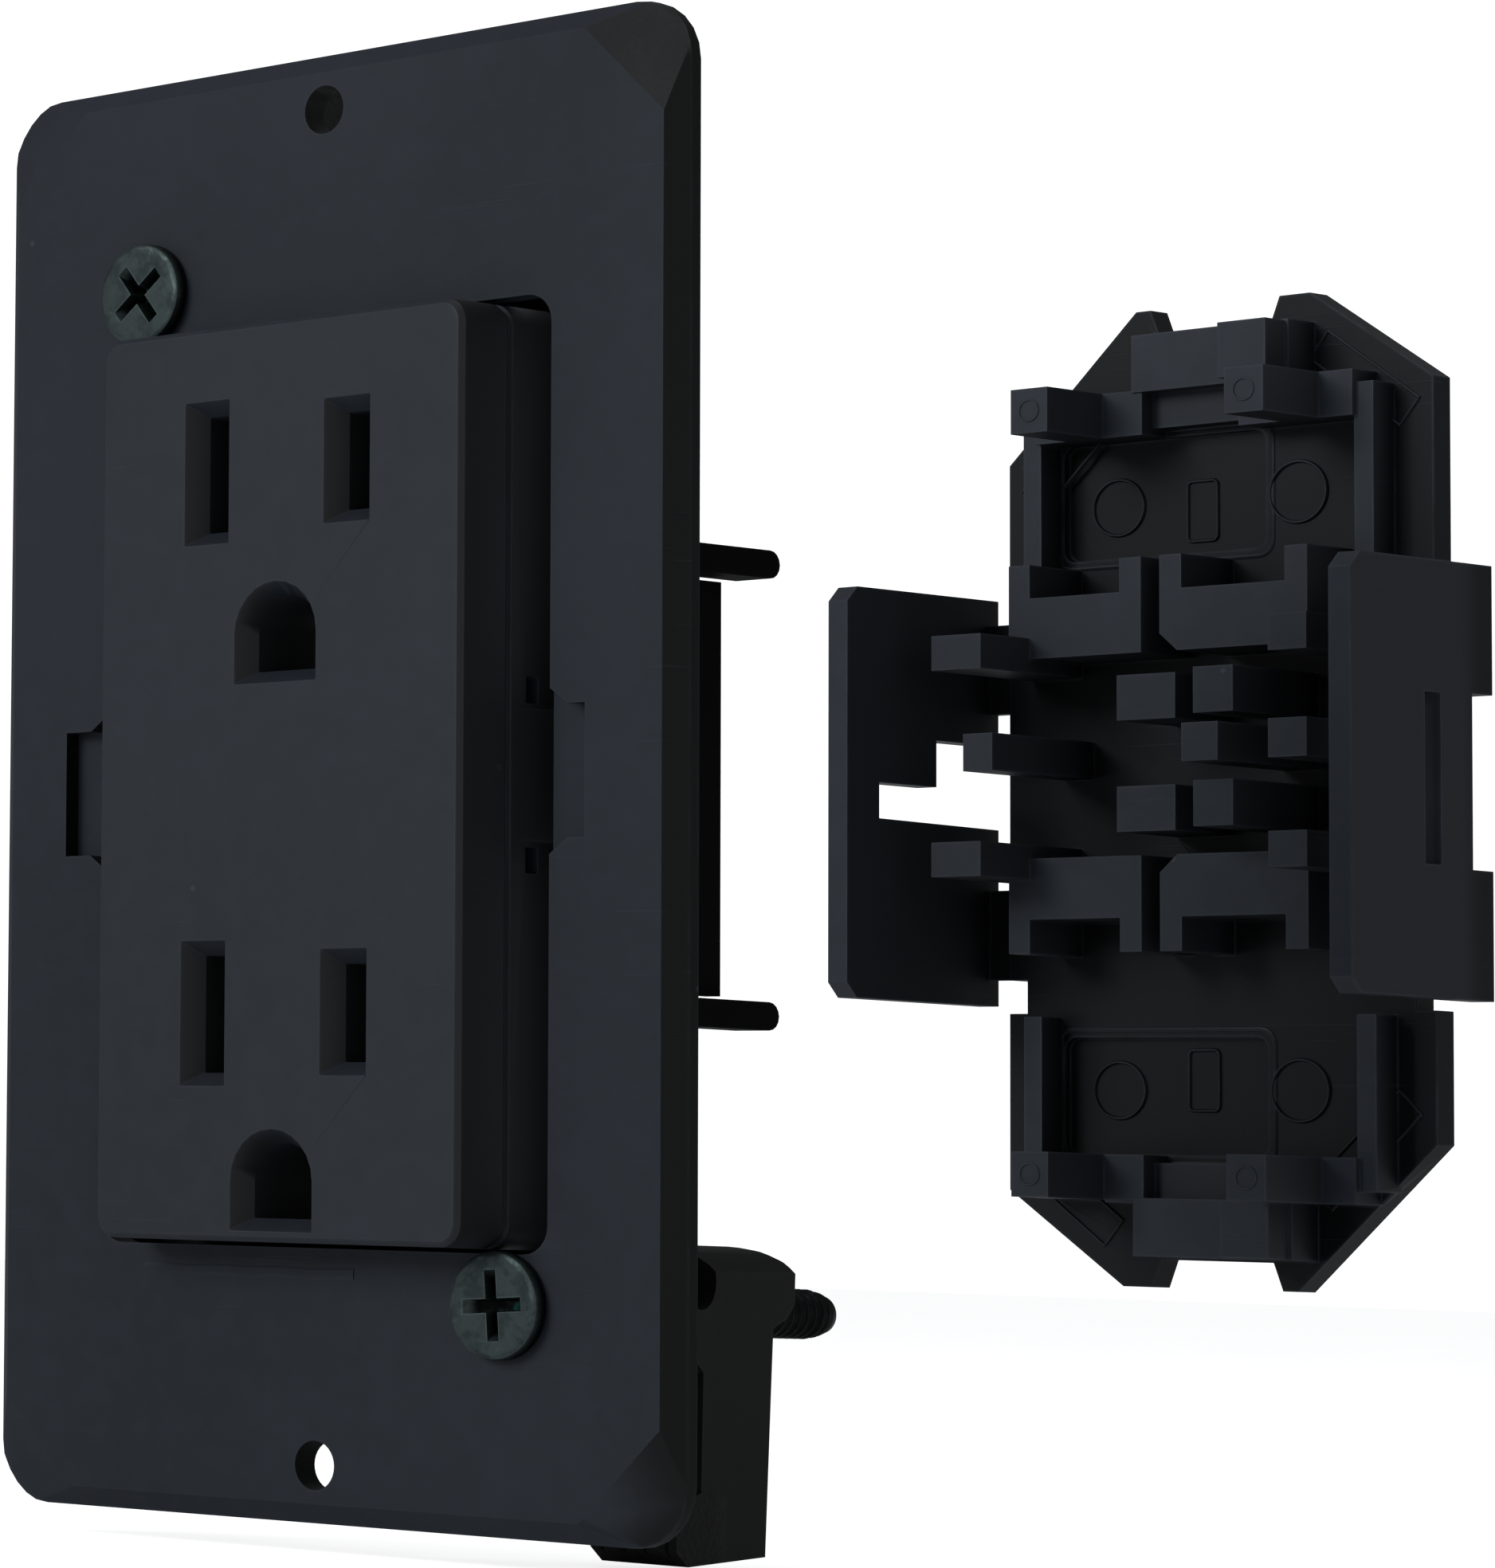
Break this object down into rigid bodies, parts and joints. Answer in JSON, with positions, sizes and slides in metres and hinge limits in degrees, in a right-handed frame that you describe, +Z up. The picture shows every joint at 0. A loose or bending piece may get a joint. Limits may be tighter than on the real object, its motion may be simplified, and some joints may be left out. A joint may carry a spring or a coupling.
{
  "type": "duplex wall outlet",
  "caption": "Self-contained duplex wall outlet with its own mounting plate, swing wall clamps on long screws and a clip-on rear cover, shown pulled off.",
  "frame": {"origin": "centre of the outlet's raised front face, half way up between the cover-plate holes", "axes": "+X to the right as a user faces the outlet, +Y into the wall (the outlet's face looks along -Y), +Z up"},
  "size_m": [0.0612, 0.1069, 0.1084],
  "materials": {
    "outlet_plastic": "satin, fine moulded grain",
    "housing_plastic": "satin",
    "cover_plastic": "satin",
    "clamp_nylon": "satin",
    "screw_steel": "dark zinc plating, worn",
    "contact_brass": "plain",
    "ground_metal": "tinned"
  },
  "bodies": {
    "front_unit": {"mounting_plate": "outlet_plastic", "receptacle_face": "outlet_plastic", "rear_housing": "housing_plastic", "neutral_contact_upper": "contact_brass", "hot_contact_upper": "contact_brass", "ground_contact_upper": "ground_metal", "neutral_contact_lower": "contact_brass", "hot_contact_lower": "contact_brass", "ground_contact_lower": "ground_metal", "hot_bus_strap": "contact_brass", "neutral_bus_strap": "contact_brass", "ground_bus_strap": "ground_metal"},
    "rear_cover": {"rear_cover": "cover_plastic"},
    "upper_screw": {"clamp_screw_upper": "screw_steel", "screw_retainer_upper": "ground_metal"},
    "upper_bushing": {"clamp_bushing_upper": "contact_brass"},
    "upper_clamp": {"wall_clamp_upper": "clamp_nylon"},
    "lower_screw": {"clamp_screw_lower": "screw_steel", "screw_retainer_lower": "ground_metal"},
    "lower_bushing": {"clamp_bushing_lower": "contact_brass"},
    "lower_clamp": {"wall_clamp_lower": "clamp_nylon"}
  },
  "joints": [
    {"name": "cover_slide", "type": "slide", "parent": "front_unit", "child": "rear_cover", "axis": [0, 0.998, 0.0625], "range_m": [-0.08006, 0]},
    {"name": "upper_screw_turn", "type": "hinge", "parent": "front_unit", "child": "upper_screw", "pos_m": [-0.0163, 0, 0.03665], "axis": [0, 1, 0], "range_deg": [-4320, 2160]},
    {"name": "upper_clamp_draw", "type": "slide", "parent": "front_unit", "child": "upper_bushing", "axis": [0, 1, 0], "range_m": [-0.00476, 0.00952]},
    {"name": "upper_clamp_swing", "type": "hinge", "parent": "upper_bushing", "child": "upper_clamp", "pos_m": [-0.0163, 0, 0.03665], "axis": [0, 1, 0], "range_deg": [0, 90]},
    {"name": "lower_screw_turn", "type": "hinge", "parent": "front_unit", "child": "lower_screw", "pos_m": [0.0163, 0, -0.03665], "axis": [0, 1, 0], "range_deg": [-4320, 2160]},
    {"name": "lower_clamp_draw", "type": "slide", "parent": "front_unit", "child": "lower_bushing", "axis": [0, 1, 0], "range_m": [-0.00476, 0.00952]},
    {"name": "lower_clamp_swing", "type": "hinge", "parent": "lower_bushing", "child": "lower_clamp", "pos_m": [0.0163, 0, -0.03665], "axis": [0, 1, 0], "range_deg": [0, 90]}
  ],
  "couplings": [
    {"joint": "upper_screw_turn", "follows": "upper_clamp_draw", "rad_per_m": -7913.3},
    {"joint": "lower_screw_turn", "follows": "lower_clamp_draw", "rad_per_m": -7913.3}
  ]
}
